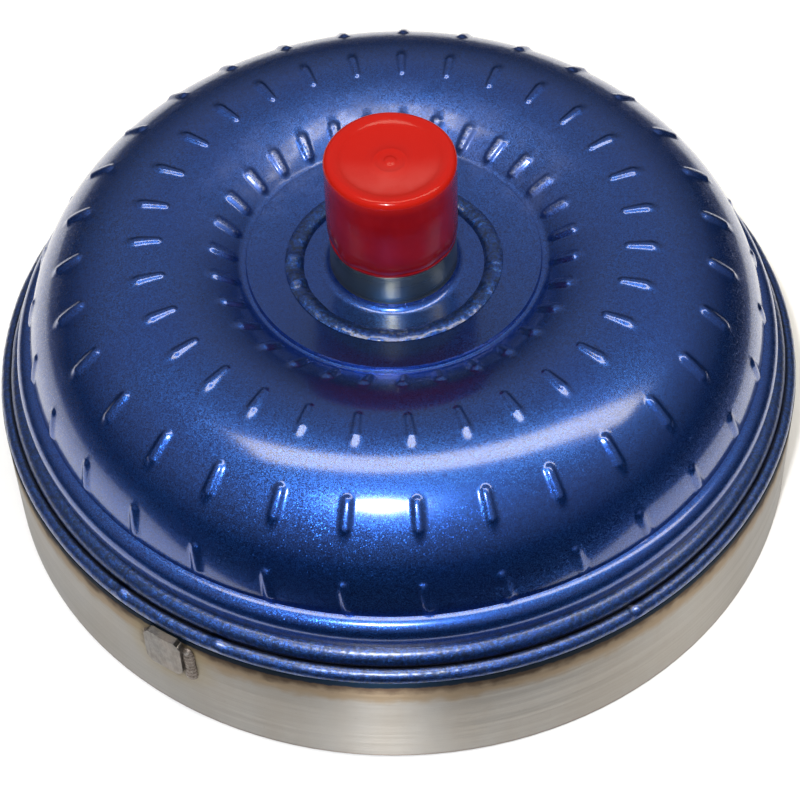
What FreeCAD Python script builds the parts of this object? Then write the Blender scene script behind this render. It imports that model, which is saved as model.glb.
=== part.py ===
"""Torque converter with lock-up clutch, as separate pieces on one vertical axis.

Millimetres. +Z runs along the axis, from the engine side (front cover, z = 0) to the transmission side
(pump hub and its shipping cap). The origin is the centre of the cover's mounting face.
"""
import FreeCAD, Part
import math
import os

V = FreeCAD.Vector
ORIGIN, AXIS = V(0, 0, 0), V(0, 0, 1)

# Front cover
COVER_R = 155.5
COVER_WALL = 5.2
COVER_RIM_Z = 49.0
COVER_FLOOR_Z = 16.0
COVER_EDGE = 1.5
DISH_R, DISH_Z = 112.0, 9.0
PILOT_R, PILOT_TIP_Z = 22.0, 0.8
BOLT_COUNT, BOLT_CIRCLE_R, BOLT_HOLE_R, BOLT_DEPTH = 6, 139.7, 4.25, 12.5

# Fluid circuit: the torus that the impeller shell follows
TORUS_R, TORUS_Z = 91.5, 65.5
SHELL_OUT, SHELL_IN = 50.2, 45.8
CORE_R, CORE_OUT, CORE_THICK = 95.5, 17.5, 1.2
SPLIT_GAP = 1.0
ROLL_R, ROLL_Z, ROLL_RADIUS = 140.8, 64.5, 6.3
LIP_R = COVER_R - COVER_WALL - 0.2
LIP_BOTTOM_Z, LIP_TOP_Z, NECK_R, NECK_Z = 44.0, 52.2, 146.2, 58.8
LIP_WALL, WELD_STEP, WELD_VALLEY = 3.0, 1.6, (LIP_R + 0.8, LIP_TOP_Z + 0.9)

# Vane tab dimples on the impeller shell, as rows of (angle round the torus, length, turn, slant), in
# millimetres and degrees; the slant is the turn from a dimple's hub-side end to its rim-side end
VANES = 31
DIMPLE_RADIUS, DIMPLE_SINK = 2.9, 1.4
DIMPLE_ROWS = ((15.2, 13.8, 5.64, 0.8), (51.3, 13.6, 5.16, 0.0), (89.7, 12.6, 4.93, 0.3),
               (122.9, 11.6, 4.45, -0.8))
VANE_THICK = 1.2
IMPELLER_VANE_LINE = ((138.0, 16.2), (91.5, 14.95), (50.0, 14.2))  # (radius, turn) along a vane
STATOR_ROOM = ((40, 32), (57, 29.5), (76, 13.5), (79, 13.5))  # (radius, rise from the split) beside the stator

# Pump hub
HUB_R, HUB_BORE_R, HUB_NOSE_R = 23.76, 20.3, 22.6
HUB_FLANGE_R, HUB_FLANGE_Z, HUB_FLANGE_TOP = 36.5, 95.1, 100.4
HUB_FILLET = 3.84
HUB_SHOULDER_Z, HUB_END_Z = 117.6, 150.0
HUB_SLOT_WIDTH, HUB_SLOT_DEPTH = 9.0, 10.0
SHELL_HOLE_R, LAND_Z, LAND_EDGE_R, LAND_EDGE_Z = 36.7, 100.9, 55.4, 104.4

# Turbine
TURBINE_VANES = 29
TURBINE_VANE_LINE = ((138.5, 12.0), (98.0, 26.0), (52.0, 16.0))
TURBINE_A, TURBINE_B, TURBINE_THICK = 47.8, 36.0, 2.2
TURBINE_CORE_B = 14.0
TURBINE_FLAT_R, TURBINE_FLAT_Z = 66.0, 35.0
T_HUB_R, T_HUB_FLANGE_R, T_HUB_BOSS_R = 41.1, 60.0, 31.0
T_HUB_Z, T_HUB_FLANGE_Z, T_HUB_TOP_Z = 20.08, 27.3, 47.0
T_SPLINE_R, T_SPLINE_TEETH = 13.0, 24
T_RIVETS, T_RIVET_CIRCLE_R, T_RIVET_R = 12, 53.0, 3.0

# Lock-up clutch and damper
LINING_IN, LINING_OUT, LINING_Z, LINING_THICK = 120.0, 146.0, 16.8, 1.2
PISTON_THICK, PISTON_COLLAR_R, PISTON_COLLAR_TOP = 2.8, 44.6, 24.2
LUG_IN, LUG_OUT, LUG_HALF_DEG, LUG_TOP_Z = 136.0, 140.0, 4.0, 24.4
SPRINGS, SPRING_CIRCLE_R, SPRING_Z = 8, 119.0, 26.0
SPRING_LENGTH, SPRING_COIL_R, SPRING_WIRE_R, SPRING_TURNS = 34.0, 3.9, 1.0, 9
PLATE_THICK, DAMPER_IN, DAMPER_OUT, FRONT_PLATE_OUT = 1.5, 104.0, 131.5, 142.5
FRONT_PLATE_Z, REAR_PLATE_Z = 21.9, 28.6
DRIVEN_Z, DRIVEN_THICK, DRIVEN_IN, DRIVEN_OUT = 24.7, 2.6, 46.0, 131.0
STOP_PIN_R, TWIST_DEG = 3.0, 4.0

# Stator and its one-way clutch
STATOR_BLADES, STATOR_HUB_R, STATOR_RIM_IN, STATOR_RIM_OUT = 15, 46.0, 72.0, 75.0
STATOR_Z0, STATOR_Z1 = 51.08, 91.0
OUTER_RACE_R, OUTER_RACE_IN = 42.0, 33.4
CLUTCH_Z0, CLUTCH_Z1 = 56.0, 86.0
ROLLERS, ROLLER_R, ROLLER_CIRCLE_R = 12, 4.0, 33.06
INNER_RACE_R, INNER_JOURNAL_R, S_SPLINE_R, S_SPLINE_TEETH = 29.0, 24.0, 17.6, 30
SNAP_RING_THICK = 1.2
RUNNING_GAP = 0.05

# Thrust needle bearings
RACE_THICK, NEEDLE_R, BEARING_GAP, NEEDLES = 1.0, 0.98, 0.04, 20

# Balance weight on the cover's side
WEIGHT_START_DEG, WEIGHT_END_DEG, WEIGHT_Z0, WEIGHT_Z1, WEIGHT_THICK = 232.6, 238.5, 28.2, 47.8, 3.0

# Shipping cap
CAP_R, CAP_BORE_R, CAP_SKIRT_Z, CAP_TOP_Z, CAP_CEILING_Z = 24.5, 22.75, 118.4, 156.4, 150.3


def arc(start, middle, end):
    """Arc edge through three (r, z) points."""
    return Part.Arc(V(*start, 0), V(*middle, 0), V(*end, 0)).toShape()


def outline(*steps):
    """Face from (r, z) points; a pair of points is an arc through the first to the second."""
    here, edges = steps[0], []
    for step in steps[1:] + (steps[0],):
        if isinstance(step[0], tuple):
            edges.append(arc(here, step[0], step[1]))
            here = step[1]
        elif math.dist(here, step) > 1e-6:
            edges.append(Part.LineSegment(V(*here, 0), V(*step, 0)).toShape())
            here = step
    return Part.Face(Part.Wire(edges))


def revolve(face, degrees=360):
    """Turn a flat (r, z) face about the axis."""
    upright = face.copy()
    upright.rotate(ORIGIN, V(1, 0, 0), 90)
    return upright.revolve(ORIGIN, AXIS, degrees)


def ring(r_in, r_out, z0, z1):
    """Plain ring, or a disc when r_in is 0."""
    disc = Part.makeCylinder(r_out, z1 - z0, V(0, 0, z0))
    return disc.cut(Part.makeCylinder(r_in, z1 - z0, V(0, 0, z0))) if r_in else disc


def on_circle(radius, degrees, z=0.0):
    """Point at a radius and a turn about the axis."""
    turn = math.radians(degrees)
    return V(radius * math.cos(turn), radius * math.sin(turn), z)


def turned(shape, degrees):
    """Copy of a shape, turned about the axis."""
    copy = shape.copy()
    copy.rotate(ORIGIN, AXIS, degrees)
    return copy


def around(shape, count, start=0.0):
    """Evenly spaced copies of a shape about the axis."""
    return [turned(shape, start + 360.0 * i / count) for i in range(count)]


def sector(r_in, r_out, half_deg, z0, z1):
    """Piece of a ring, centred on +X."""
    piece = revolve(outline((r_in, z0), (r_out, z0), (r_out, z1), (r_in, z1)), 2 * half_deg)
    return turned(piece, -half_deg)


def slot(radius, half_deg, half_width, z0, z1):
    """Kidney-shaped slot cutter, centred on +X."""
    ends = [Part.makeCylinder(half_width, z1 - z0, on_circle(radius, side * half_deg, z0)) for side in (-1, 1)]
    return sector(radius - half_width, radius + half_width, half_deg, z0, z1).fuse(ends)


def torus_point(radius, degrees):
    """(r, z) at a radius and angle round the fluid circuit's centre."""
    turn = math.radians(degrees)
    return (TORUS_R + radius * math.cos(turn), TORUS_Z + radius * math.sin(turn))


def spline_cutter(minor_r, teeth, z0, z1, depth=1.3):
    """Cutter for the grooves of an internal spline, a tooth and a groove to each pitch."""
    pitch, edges = 360.0 / teeth, []
    major_r = minor_r + depth
    for i in range(teeth):
        a, b, c, d = (pitch * (i + part) for part in (0.0, 0.46, 0.54, 0.92))
        land = [on_circle(minor_r, turn) for turn in (a, (a + b) / 2, b)]
        root = [on_circle(major_r, turn) for turn in (c, (c + d) / 2, d)]
        edges += [Part.Arc(*land).toShape(), Part.LineSegment(land[2], root[0]).toShape()]
        edges += [Part.Arc(*root).toShape(), Part.LineSegment(root[2], on_circle(minor_r, a + pitch)).toShape()]
    face = Part.Face(Part.Wire(edges))
    face.translate(V(0, 0, z0))
    return face.extrude(V(0, 0, z1 - z0))


def ellipse_arc(centre_r, half_r, half_z, start_deg, end_deg):
    """Edge of an ellipse below the split plane, from one angle to another measured from +r downwards."""
    ellipse = Part.Ellipse(V(centre_r, TORUS_Z, 0), half_r, half_z)
    low, high = 360.0 - max(start_deg, end_deg), 360.0 - min(start_deg, end_deg)
    return Part.ArcOfEllipse(ellipse, math.radians(low), math.radians(high)).toShape()


def face_of(*edges):
    """Face from edges in any order."""
    return Part.Face(Part.Wire(Part.__sortEdges__(list(edges))))


def line(start, end):
    return Part.LineSegment(V(*start, 0), V(*end, 0)).toShape()


# ---- housing ----

def front_cover():
    """Machined cup with a thick outer ring, a dished middle and tapped holes for the flexplate."""
    inner_r = COVER_R - COVER_WALL
    corner = 0.3 * COVER_EDGE
    cup = revolve(outline(
        (0, DISH_Z), (DISH_R - 3, DISH_Z), (DISH_R, DISH_Z - 3), (DISH_R, 0), (COVER_R - COVER_EDGE, 0),
        ((COVER_R - corner, corner), (COVER_R, COVER_EDGE)), (COVER_R, COVER_RIM_Z), (inner_r, COVER_RIM_Z),
        (inner_r, COVER_FLOOR_Z + 3), ((inner_r - 0.9, COVER_FLOOR_Z + 0.9), (inner_r - 3, COVER_FLOOR_Z)),
        (0, COVER_FLOOR_Z)))
    hole = Part.makeCylinder(BOLT_HOLE_R, BOLT_DEPTH, V(BOLT_CIRCLE_R, 0, 0))
    return cup.cut(around(hole, BOLT_COUNT, 30.0))


def pilot():
    """Stub that centres the converter in the crankshaft, with a chamfered tip."""
    return revolve(outline(
        (0, PILOT_TIP_Z), (PILOT_R - 1.2, PILOT_TIP_Z), (PILOT_R, PILOT_TIP_Z + 1.2), (PILOT_R, DISH_Z),
        (0, DISH_Z)))


def impeller_shell():
    """Half-torus shell with a rolled rim, a lip inside the cover and four rows of vane tab dimples."""
    crease_deg, roll_deg, hub_side_deg = 6.03, 35, 133
    roll_start = torus_point(SHELL_OUT, crease_deg)
    roll_turn = math.radians(roll_deg)
    roll_middle = (ROLL_R + ROLL_RADIUS * math.cos(roll_turn), ROLL_Z + ROLL_RADIUS * math.sin(roll_turn))
    under_roll = (NECK_R + 0.55, ROLL_Z - 3.0)
    land_foot_r = LAND_EDGE_R + 2.2
    land_foot = (land_foot_r, TORUS_Z + math.sqrt(SHELL_OUT ** 2 - (TORUS_R - land_foot_r) ** 2))
    inner_r = NECK_R - LIP_WALL
    turbine_room = ((inner_r, NECK_Z + 2.2), (inner_r - 2.6, NECK_Z + 7.5))
    land_underside_r, land_underside_z = LAND_EDGE_R - 1.4, LAND_EDGE_Z - 5.2
    pitch = 360.0 / VANES
    wedge = revolve(outline(
        (SHELL_HOLE_R, LAND_Z - 4.5), (SHELL_HOLE_R, LAND_Z), (LAND_EDGE_R, LAND_EDGE_Z),
        ((LAND_EDGE_R + 0.9, LAND_EDGE_Z - 0.15), (LAND_EDGE_R + 1.4, LAND_EDGE_Z - 0.8)), land_foot,
        (torus_point(SHELL_OUT, 70), roll_start), (roll_middle, (ROLL_R + ROLL_RADIUS, ROLL_Z)),
        (under_roll, (NECK_R, NECK_Z)), (NECK_R, NECK_Z - WELD_STEP), (LIP_R, LIP_TOP_Z),
        (LIP_R, LIP_BOTTOM_Z), (inner_r, LIP_BOTTOM_Z), *turbine_room, torus_point(SHELL_IN, 2.5),
        (torus_point(SHELL_IN, 65), torus_point(SHELL_IN, hub_side_deg)),
        (land_underside_r, land_underside_z)), pitch)
    wedge = turned(wedge, DIMPLE_ROWS[0][2] - pitch / 2).fuse([dimple(*row) for row in DIMPLE_ROWS])
    first, *rest = around(wedge, VANES)
    return first.fuse(rest)


def dimple(angle, length, turn, slant):
    """Rounded oblong rib that lies along the torus and stands proud of the shell."""
    half, straight, bulge = length / 2, length / 2 - DIMPLE_RADIUS, DIMPLE_RADIUS * math.sqrt(0.5)
    rib = outline((-half, 0), (half, 0), ((straight + bulge, bulge), (straight, DIMPLE_RADIUS)),
                  (-straight, DIMPLE_RADIUS), ((-straight - bulge, bulge), (-half, 0)))
    rib = rib.revolve(ORIGIN, V(1, 0, 0), 360)
    rib.rotate(ORIGIN, V(0, -1, 0), angle + 90)
    r, z = torus_point(SHELL_OUT - DIMPLE_SINK, angle)
    rib.translate(V(r, 0, z))
    normal = V(math.cos(math.radians(angle)), 0, math.sin(math.radians(angle)))
    rib.rotate(V(r, 0, z), normal, math.degrees(math.atan2(math.radians(slant) * r, 2 * straight)))
    return turned(rib, turn)


def closing_weld_upper():
    """First weld pass, between the shell's neck and lip."""
    return revolve(outline(
        (NECK_R, NECK_Z - 0.3), ((NECK_R + 3.4, NECK_Z - WELD_STEP), WELD_VALLEY), (LIP_R, LIP_TOP_Z),
        (NECK_R, NECK_Z - WELD_STEP)))


def closing_weld_lower():
    """Second weld pass, between the lip and the cover's rim."""
    return revolve(outline(
        (LIP_R, COVER_RIM_Z), (LIP_R, LIP_TOP_Z), WELD_VALLEY,
        ((COVER_R - 1.1, LIP_TOP_Z + 0.2), (COVER_R - 0.2, COVER_RIM_Z))))


def pump_hub():
    """Flanged tube that drives the transmission pump, with a ground journal and two drive slots."""
    fillet_r, fillet_z = HUB_R + HUB_FILLET, HUB_FLANGE_TOP + HUB_FILLET
    reach = HUB_FILLET * math.sqrt(0.5)
    tube = revolve(outline(
        (HUB_BORE_R, HUB_FLANGE_Z), (HUB_FLANGE_R, HUB_FLANGE_Z), (HUB_FLANGE_R, HUB_FLANGE_TOP),
        (fillet_r, HUB_FLANGE_TOP), ((fillet_r - reach, fillet_z - reach), (HUB_R, fillet_z)),
        (HUB_R, HUB_SHOULDER_Z - 0.4), (HUB_R - 0.4, HUB_SHOULDER_Z), (HUB_NOSE_R, HUB_SHOULDER_Z),
        (HUB_NOSE_R, HUB_END_Z - 1.0), (HUB_NOSE_R - 0.8, HUB_END_Z), (HUB_BORE_R + 0.6, HUB_END_Z),
        (HUB_BORE_R, HUB_END_Z - 0.8)))
    across = 2 * HUB_R + 2
    drive_slot = Part.makeBox(across, HUB_SLOT_WIDTH, HUB_SLOT_DEPTH + 1,
                              V(-across / 2, -HUB_SLOT_WIDTH / 2, HUB_END_Z - HUB_SLOT_DEPTH))
    return tube.cut(drive_slot)


def hub_weld():
    """Fillet weld between the hub's flange and the shell's land."""
    inner_r, outer_r, crest = HUB_FLANGE_R - 2.3, SHELL_HOLE_R + 4.1, (HUB_FLANGE_R + 1.8, HUB_FLANGE_TOP + 2.2)
    slope = (LAND_EDGE_Z - LAND_Z) / (LAND_EDGE_R - SHELL_HOLE_R)
    return revolve(outline(
        (inner_r, HUB_FLANGE_TOP), (crest, (outer_r, LAND_Z + slope * (outer_r - SHELL_HOLE_R))),
        (SHELL_HOLE_R, LAND_Z), (SHELL_HOLE_R, HUB_FLANGE_TOP)))


def curved_sheet(points, thickness, z0, z1):
    """Upright sheet of even thickness along the arc through three plan points."""
    circle = Part.Circle(*points)
    sides = []
    for offset in (thickness / 2, -thickness / 2):
        scale = (circle.Radius + offset) / circle.Radius
        sides.append([circle.Center + (point - circle.Center) * scale for point in points])
    near, far = sides
    face = Part.Face(Part.Wire([
        Part.Arc(*near).toShape(), Part.LineSegment(near[2], far[2]).toShape(),
        Part.Arc(*reversed(far)).toShape(), Part.LineSegment(far[0], near[0]).toShape()]))
    face.translate(V(0, 0, z0))
    return face.extrude(V(0, 0, z1 - z0))


def vane_edge(upper):
    """Clipping polygon that leaves room for the stator beside the vanes' inner edges."""
    side, outside_r, outside_rise = (1 if upper else -1), 200, 60
    inner_r, outer_r = STATOR_ROOM[0][0], STATOR_ROOM[-1][0]
    points = ((outside_r, SPLIT_GAP), (outside_r, outside_rise), (inner_r, outside_rise), *STATOR_ROOM,
              (outer_r, SPLIT_GAP))
    return outline(*((r, TORUS_Z + side * rise) for r, rise in points))


def impeller_vanes():
    """Thin steel vanes between the shell and the core ring."""
    gap = 0.05
    circuit = Part.Face(Part.Wire(Part.Circle(V(TORUS_R, TORUS_Z, 0), AXIS, SHELL_IN - gap).toShape()))
    core = Part.Face(Part.Wire(Part.Circle(V(CORE_R, TORUS_Z, 0), AXIS, CORE_OUT + gap).toShape()))
    channel = revolve(circuit.cut(core).common(vane_edge(True)).Faces[0], 40)
    sheet = curved_sheet([on_circle(*place) for place in IMPELLER_VANE_LINE], VANE_THICK, TORUS_Z,
                         TORUS_Z + SHELL_OUT)
    return around(channel.common(sheet), VANES, -10.0)


def impeller_core_ring():
    """Thin half-torus ring that joins the impeller vanes' inner edges."""
    def rim(radius, rise):
        return (CORE_R + math.sqrt(radius ** 2 - rise ** 2), TORUS_Z + rise)

    def inner_end(radius, rise):
        return (CORE_R - math.sqrt(radius ** 2 - rise ** 2), TORUS_Z + rise)

    inner = CORE_OUT - CORE_THICK
    return revolve(outline(
        rim(CORE_OUT, SPLIT_GAP), ((CORE_R, TORUS_Z + CORE_OUT), inner_end(CORE_OUT, 4.0)),
        inner_end(inner, 4.0), ((CORE_R, TORUS_Z + inner), rim(inner, SPLIT_GAP))))


def balance_weight():
    """Curved steel plate that balances the assembly, welded to the cover's side."""
    half_deg = (WEIGHT_END_DEG - WEIGHT_START_DEG) / 2
    plate = sector(COVER_R, COVER_R + WEIGHT_THICK, half_deg, WEIGHT_Z0, WEIGHT_Z1)
    return turned(plate, WEIGHT_START_DEG + half_deg)


def weight_welds():
    """Fillet welds down the balance weight's two sides, as (turn, low z, high z, radius)."""
    runs = ((WEIGHT_END_DEG + 0.6, 27.0, 44.5, 2.6), (WEIGHT_START_DEG - 0.5, 30.0, 42.0, 2.2))
    keep = ring(COVER_R, COVER_R + WEIGHT_THICK, WEIGHT_Z0 - 8, WEIGHT_Z1 + 1).cut(balance_weight())
    beads = []
    for turn, low, high, radius in runs:
        foot = COVER_R - 0.3
        bead = Part.makeCylinder(radius, high - low, on_circle(foot, turn, low))
        ends = [Part.makeSphere(radius, on_circle(foot, turn, z)) for z in (low, high)]
        beads.append(bead.fuse(ends).common(keep))
    return beads


# ---- shipping cap ----

def shipping_cap():
    """Soft cap over the pump hub, with a rolled rim, a dished top and a small moulding nub."""
    dish_z, nub_r, nub_height = CAP_TOP_Z - 2.3, 2.0, 0.8
    return revolve(outline(
        (CAP_BORE_R, CAP_SKIRT_Z), (CAP_R - 0.9, CAP_SKIRT_Z),
        ((CAP_R - 0.35, CAP_SKIRT_Z + 0.35), (CAP_R - 0.2, CAP_SKIRT_Z + 1.0)), (CAP_R, CAP_TOP_Z - 3.4),
        ((CAP_R - 0.95, CAP_TOP_Z - 1.0), (CAP_R - 3.3, CAP_TOP_Z)), (CAP_R - 4.4, CAP_TOP_Z),
        ((CAP_R - 5.9, CAP_TOP_Z - 0.6), (CAP_R - 7.2, dish_z + 0.3)), (CAP_R - 9.5, dish_z),
        (nub_r, dish_z), (nub_r - 0.4, dish_z + nub_height), (0, dish_z + nub_height), (0, CAP_CEILING_Z),
        (CAP_BORE_R, CAP_CEILING_Z)))


# ---- turbine ----

def turbine_shell():
    """Flattened half-torus shell with a flat ring that is riveted to the hub."""
    def corner_deg(half_r):
        return math.degrees(math.acos((TURBINE_FLAT_R - TORUS_R) / half_r))

    def at(half_r, half_z, degrees):
        turn = math.radians(degrees)
        return (TORUS_R + half_r * math.cos(turn), TORUS_Z - half_z * math.sin(turn))

    in_a, in_b, top_deg = TURBINE_A - TURBINE_THICK, TURBINE_B - TURBINE_THICK, 1.8
    out_deg, in_deg = corner_deg(TURBINE_A), corner_deg(in_a)
    bore_r, flat_top = T_HUB_BOSS_R + 0.05, TURBINE_FLAT_Z + TURBINE_THICK
    return revolve(face_of(
        line((bore_r, TURBINE_FLAT_Z), (TURBINE_FLAT_R - 2, TURBINE_FLAT_Z)),
        line((TURBINE_FLAT_R - 2, TURBINE_FLAT_Z), at(TURBINE_A, TURBINE_B, out_deg)),
        ellipse_arc(TORUS_R, TURBINE_A, TURBINE_B, top_deg, out_deg),
        line(at(TURBINE_A, TURBINE_B, top_deg), at(in_a, in_b, top_deg)),
        ellipse_arc(TORUS_R, in_a, in_b, top_deg, in_deg),
        line(at(in_a, in_b, in_deg), (TURBINE_FLAT_R - 2, flat_top)),
        line((TURBINE_FLAT_R - 2, flat_top), (bore_r, flat_top)),
        line((bore_r, flat_top), (bore_r, TURBINE_FLAT_Z)))).cut(rivet_holes(T_RIVET_R))


def rivet_holes(radius):
    """Cutters for the turbine's rivets."""
    return around(Part.makeCylinder(radius, 30, V(T_RIVET_CIRCLE_R, 0, 15)), T_RIVETS)


def turbine_vanes():
    """Curved steel vanes between the turbine shell and its core ring."""
    gap = 0.05
    in_a, in_b = TURBINE_A - TURBINE_THICK - gap, TURBINE_B - TURBINE_THICK - gap
    circuit = Part.Face(Part.Wire(Part.Ellipse(V(TORUS_R, TORUS_Z, 0), in_a, in_b).toShape()))
    core_outline = Part.Ellipse(V(CORE_R, TORUS_Z, 0), CORE_OUT + gap, TURBINE_CORE_B + gap)
    core = Part.Face(Part.Wire(core_outline.toShape()))
    channel = revolve(circuit.cut(core).common(vane_edge(False)).Faces[0], 60)
    sheet = curved_sheet([on_circle(*place) for place in TURBINE_VANE_LINE], VANE_THICK, TORUS_Z - TURBINE_A,
                         TORUS_Z)
    return around(channel.common(sheet), TURBINE_VANES)


def turbine_core_ring():
    """Thin ring that joins the turbine vanes' inner edges."""
    inner_a, inner_b, near_deg, far_deg = CORE_OUT - CORE_THICK, TURBINE_CORE_B - CORE_THICK, 5.0, 168.0

    def at(half_r, half_z, degrees):
        turn = math.radians(degrees)
        return (CORE_R + half_r * math.cos(turn), TORUS_Z - half_z * math.sin(turn))

    return revolve(face_of(
        ellipse_arc(CORE_R, CORE_OUT, TURBINE_CORE_B, near_deg, far_deg),
        line(at(CORE_OUT, TURBINE_CORE_B, far_deg), at(inner_a, inner_b, far_deg)),
        ellipse_arc(CORE_R, inner_a, inner_b, near_deg, far_deg),
        line(at(inner_a, inner_b, near_deg), at(CORE_OUT, TURBINE_CORE_B, near_deg))))


def turbine_hub():
    """Flanged hub, splined to the transmission's input shaft, with a groove for the piston's seal."""
    body = revolve(outline(
        (T_SPLINE_R, T_HUB_Z), (T_HUB_R, T_HUB_Z), (T_HUB_R, T_HUB_FLANGE_Z), (T_HUB_FLANGE_R, T_HUB_FLANGE_Z),
        (T_HUB_FLANGE_R, TURBINE_FLAT_Z), (T_HUB_BOSS_R, TURBINE_FLAT_Z), (T_HUB_BOSS_R, T_HUB_TOP_Z),
        (T_SPLINE_R, T_HUB_TOP_Z)))
    groove = ring(T_HUB_R - 2.2, T_HUB_R + 1, 21.6, 23.6)
    grooves = spline_cutter(T_SPLINE_R, T_SPLINE_TEETH, T_HUB_Z, T_HUB_TOP_Z)
    return body.cut([groove, grooves] + rivet_holes(T_RIVET_R))


def piston_seal():
    """Square-section ring in the turbine hub's groove."""
    return ring(T_HUB_R - 2.15, T_HUB_R, 21.65, 23.55)


def turbine_rivets():
    """Rivets that clamp the turbine shell, hub and driven plate together."""
    low, high, head = DRIVEN_Z, TURBINE_FLAT_Z + TURBINE_THICK, 1.4
    rivet = revolve(outline(
        (0, low - head), (T_RIVET_R + 0.8, low - head), (T_RIVET_R + 1.8, low), (T_RIVET_R, low),
        (T_RIVET_R, high), (T_RIVET_R + 1.8, high), (T_RIVET_R + 0.8, high + head), (0, high + head)))
    rivet.translate(V(T_RIVET_CIRCLE_R, 0, 0))
    return around(rivet, T_RIVETS)


# ---- lock-up clutch and damper ----

def spring_windows(z0, z1):
    """Cutters for the windows that hold the damper springs."""
    length, width = SPRING_LENGTH + 0.4, 2 * (SPRING_COIL_R + SPRING_WIRE_R) + 0.4
    window = Part.makeBox(width, length, z1 - z0, V(SPRING_CIRCLE_R - width / 2, -length / 2, z0))
    return around(window, SPRINGS)


def clutch_piston():
    """Flat piston that slides on the turbine hub and carries eight drive lugs."""
    plate_z = LINING_Z + LINING_THICK
    bore_r = T_HUB_R + RUNNING_GAP
    plate = ring(bore_r, LINING_OUT + 1, plate_z, plate_z + PISTON_THICK)
    collar = ring(bore_r, PISTON_COLLAR_R, plate_z, PISTON_COLLAR_TOP)
    lug = sector(LUG_IN, LUG_OUT, LUG_HALF_DEG, plate_z + PISTON_THICK - 0.5, LUG_TOP_Z)
    return plate.fuse([collar] + around(lug, SPRINGS))


def friction_lining():
    """Friction ring bonded to the piston, with shallow oil grooves."""
    lining = ring(LINING_IN, LINING_OUT, LINING_Z, LINING_Z + LINING_THICK)
    groove = Part.makeBox(LINING_OUT - LINING_IN + 4, 2.0, 0.5, V(LINING_IN - 2, -1.0, LINING_Z))
    return lining.cut(around(groove, 16))


def damper_front_plate():
    """Spring retainer beside the piston, slotted for the piston's lugs."""
    z0, z1 = FRONT_PLATE_Z, FRONT_PLATE_Z + PLATE_THICK
    plate = ring(DAMPER_IN, FRONT_PLATE_OUT, z0, z1)
    lug_slot = sector(LUG_IN - 0.35, LUG_OUT + 0.35, LUG_HALF_DEG + 0.2, z0 - 1, z1 + 1)
    pin_hole = Part.makeCylinder(STOP_PIN_R, PLATE_THICK, V(SPRING_CIRCLE_R, 0, z0))
    cutters = around(lug_slot, SPRINGS) + around(pin_hole, SPRINGS, 180 / SPRINGS) + spring_windows(z0, z1)
    return plate.cut(cutters)


def damper_rear_plate():
    """Spring retainer beside the turbine."""
    z0, z1 = REAR_PLATE_Z, REAR_PLATE_Z + PLATE_THICK
    pin_hole = Part.makeCylinder(STOP_PIN_R, PLATE_THICK, V(SPRING_CIRCLE_R, 0, z0))
    cutters = around(pin_hole, SPRINGS, 180 / SPRINGS) + spring_windows(z0, z1)
    return ring(DAMPER_IN, DAMPER_OUT, z0, z1).cut(cutters)


def damper_stop_pins():
    """Shouldered pins that join the two retainers and stop the twist in the driven plate's slots."""
    pin = Part.makeCylinder(STOP_PIN_R, REAR_PLATE_Z + PLATE_THICK - FRONT_PLATE_Z, V(0, 0, FRONT_PLATE_Z))
    head = Part.makeCylinder(STOP_PIN_R + 1.2, 1.0, V(0, 0, REAR_PLATE_Z + PLATE_THICK))
    pin = pin.fuse(head)
    pin.translate(V(SPRING_CIRCLE_R, 0, 0))
    return around(pin, SPRINGS, 180 / SPRINGS)


def driven_plate():
    """Plate between the retainers that takes the springs' force to the turbine hub."""
    z0, z1 = DRIVEN_Z, DRIVEN_Z + DRIVEN_THICK
    pin_slot = slot(SPRING_CIRCLE_R, TWIST_DEG + 0.3, STOP_PIN_R + 0.4, z0, z1)
    cutters = spring_windows(z0, z1) + around(pin_slot, SPRINGS, 180 / SPRINGS) + rivet_holes(T_RIVET_R)
    return ring(DRIVEN_IN, DRIVEN_OUT, z0, z1).cut(cutters)


def damper_springs():
    """Coil springs that lie along chords of the damper."""
    height = SPRING_LENGTH - 2 * SPRING_WIRE_R
    path = Part.makeHelix(height / SPRING_TURNS, height, SPRING_COIL_R)
    section = Part.Wire(Part.Circle(V(SPRING_COIL_R, 0, 0), V(0, 1, 0), SPRING_WIRE_R).toShape())
    coil = Part.Wire(path).makePipeShell([section], True, True)
    coil.translate(V(0, 0, -height / 2))
    coil.rotate(ORIGIN, V(1, 0, 0), 90)
    coil.translate(V(SPRING_CIRCLE_R, 0, SPRING_Z))
    return around(coil, SPRINGS)


# ---- stator and one-way clutch ----

def stator_blade():
    """Blunt-nosed, curved blade section run out along the radius."""
    nose_left, nose, nose_right = (-3.0, 58.0), (0.0, 55.0), (3.0, 58.0)
    tail_left, tail_right = (13.2, 76.0), (14.6, 75.2)
    back, belly = (1.2, 69.5), (7.6, 65.5)
    face = outline(nose_left, (back, tail_left), tail_right, (belly, nose_right), (nose, nose_left))
    face.rotate(ORIGIN, V(1, 0, 0), 90)
    face.rotate(ORIGIN, AXIS, 90)
    face.translate(V(STATOR_HUB_R - 3, 0, 0))
    bar = face.extrude(V(STATOR_RIM_OUT - STATOR_HUB_R + 3, 0, 0))
    return bar.common(ring(STATOR_HUB_R - 1, STATOR_RIM_IN + 1, 50, 80))


def stator_wheel():
    """Cast aluminium wheel: hub, blades and outer rim."""
    hub = ring(OUTER_RACE_R, STATOR_HUB_R, STATOR_Z0, STATOR_Z1)
    rim = ring(STATOR_RIM_IN, STATOR_RIM_OUT, 54.0, 77.0)
    snap_grooves = [ring(OUTER_RACE_R - 1, OUTER_RACE_R + 1.2, z, z + SNAP_RING_THICK) for z in snap_ring_z()]
    return hub.fuse([rim] + around(stator_blade(), STATOR_BLADES)).cut(snap_grooves)


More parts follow.
